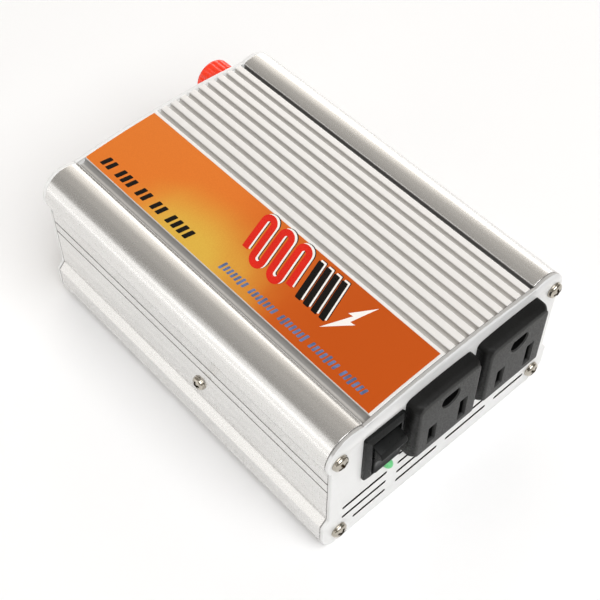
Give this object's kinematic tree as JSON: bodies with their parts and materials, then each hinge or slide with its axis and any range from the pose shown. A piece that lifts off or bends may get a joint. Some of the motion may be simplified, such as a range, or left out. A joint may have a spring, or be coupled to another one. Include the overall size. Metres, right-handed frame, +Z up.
{
  "type": "power inverter",
  "caption": "Box-shaped vehicle power inverter in a ribbed aluminium extrusion, with two mains sockets and a rocker switch in front, fan and clamp posts behind.",
  "frame": {"origin": "on the underside of the bottom cover at mid-width, 66.5 mm behind the outer face of the front panel", "axes": "+Z up, -Y towards the front panel with the sockets and the switch, +Y towards the fan and the binding posts, +X to the right when facing the front panel"},
  "size_m": [0.097, 0.1497, 0.0566],
  "materials": {
    "shell_aluminium": "satin anodised, fine grain",
    "cover_aluminium": "satin sheet",
    "panel_paint": "semi-gloss white powder coat",
    "label_print": "printed orange film",
    "screw_nickel": "bright nickel plate",
    "socket_plastic": "fine-grained black",
    "switch_plastic": "black, lightly polished",
    "contact_brass": "stamped strip",
    "led_green": "diffused green lens",
    "tinned_wire": "tinned",
    "board_green": "solder mask",
    "ferrite": "matt sintered",
    "winding_tape": "polyester tape",
    "black_plastic": "moulded",
    "capacitor_sleeve": "shrink sleeve",
    "choke_powder": "epoxy coat",
    "copper_enamel": "enamelled",
    "fuse_amber": "tinted clear",
    "silicone_pad": "matt",
    "fan_plastic": "moulded",
    "guard_chrome": "bright plated wire",
    "red_plastic": "glossy moulded",
    "post_black": "glossy moulded",
    "red_insulation": "PVC",
    "black_insulation": "PVC",
    "white_insulation": "PVC"
  },
  "bodies": {
    "case": {"housing_shell": "shell_aluminium", "bottom_cover": "cover_aluminium", "bottom_screws": "screw_nickel", "top_label": "label_print", "front_panel": "panel_paint", "front_panel_screws": "screw_nickel", "rear_panel": "panel_paint", "rear_panel_screws": "screw_nickel", "outlet_left": "socket_plastic", "outlet_right": "socket_plastic", "outlet_contacts": "contact_brass", "switch_body": "switch_plastic", "switch_terminals": "contact_brass", "power_led": "led_green", "led_leads": "tinned_wire", "circuit_board": "board_green", "transformer_core": "ferrite", "transformer_winding": "winding_tape", "transformer_base": "black_plastic", "input_capacitors": "capacitor_sleeve", "bus_capacitor": "capacitor_sleeve", "choke_core": "choke_powder", "choke_winding": "copper_enamel", "control_chips": "black_plastic", "buzzer": "black_plastic", "blade_fuses": "fuse_amber", "fuse_clips": "tinned_wire", "left_mosfets": "black_plastic", "right_mosfets": "black_plastic", "insulating_pads": "silicone_pad", "clamp_bars": "cover_aluminium", "clamp_screws": "screw_nickel", "fan_frame": "fan_plastic", "fan_guard": "guard_chrome", "fan_screws": "screw_nickel", "red_post_collar": "red_plastic", "black_post_collar": "post_black", "post_inner_washers": "black_plastic", "post_studs": "contact_brass", "post_nuts": "screw_nickel", "red_lead": "red_insulation", "black_lead": "black_insulation", "ac_leads": "white_insulation", "switch_leads": "white_insulation", "fan_leads": "red_insulation"},
    "rocker": {"switch_rocker": "switch_plastic"},
    "rotor": {"fan_rotor": "fan_plastic"},
    "red_clamp": {"red_clamp_washer": "screw_nickel"},
    "red_grip": {"red_knob": "red_plastic", "red_knob_insert": "contact_brass"},
    "black_clamp": {"black_clamp_washer": "screw_nickel"},
    "black_grip": {"black_knob": "post_black", "black_knob_insert": "contact_brass"}
  },
  "joints": [
    {"name": "rocker_tilt", "type": "hinge", "parent": "case", "child": "rocker", "pos_m": [-0.0269, -0.0629, 0.03765], "axis": [-1, 0, 0], "range_deg": [0, 26]},
    {"name": "fan_spin", "type": "hinge", "parent": "case", "child": "rotor", "pos_m": [-0.01, 0.0585, 0.028], "axis": [0, 1, 0], "continuous": true},
    {"name": "red_knob_turn", "type": "hinge", "parent": "red_clamp", "child": "red_grip", "pos_m": [0.031, 0.0735, 0.042], "axis": [0, 1, 0], "range_deg": [0, 1440]},
    {"name": "red_clamp_slide", "type": "slide", "parent": "case", "child": "red_clamp", "axis": [0, 1, 0], "range_m": [0, 0.0032]},
    {"name": "black_knob_turn", "type": "hinge", "parent": "black_clamp", "child": "black_grip", "pos_m": [0.031, 0.0735, 0.0175], "axis": [0, 1, 0], "range_deg": [0, 1440]},
    {"name": "black_clamp_slide", "type": "slide", "parent": "case", "child": "black_clamp", "axis": [0, 1, 0], "range_m": [0, 0.0032]}
  ],
  "couplings": [
    {"joint": "red_knob_turn", "follows": "red_clamp_slide", "rad_per_m": 7854},
    {"joint": "black_knob_turn", "follows": "black_clamp_slide", "rad_per_m": 7854}
  ]
}
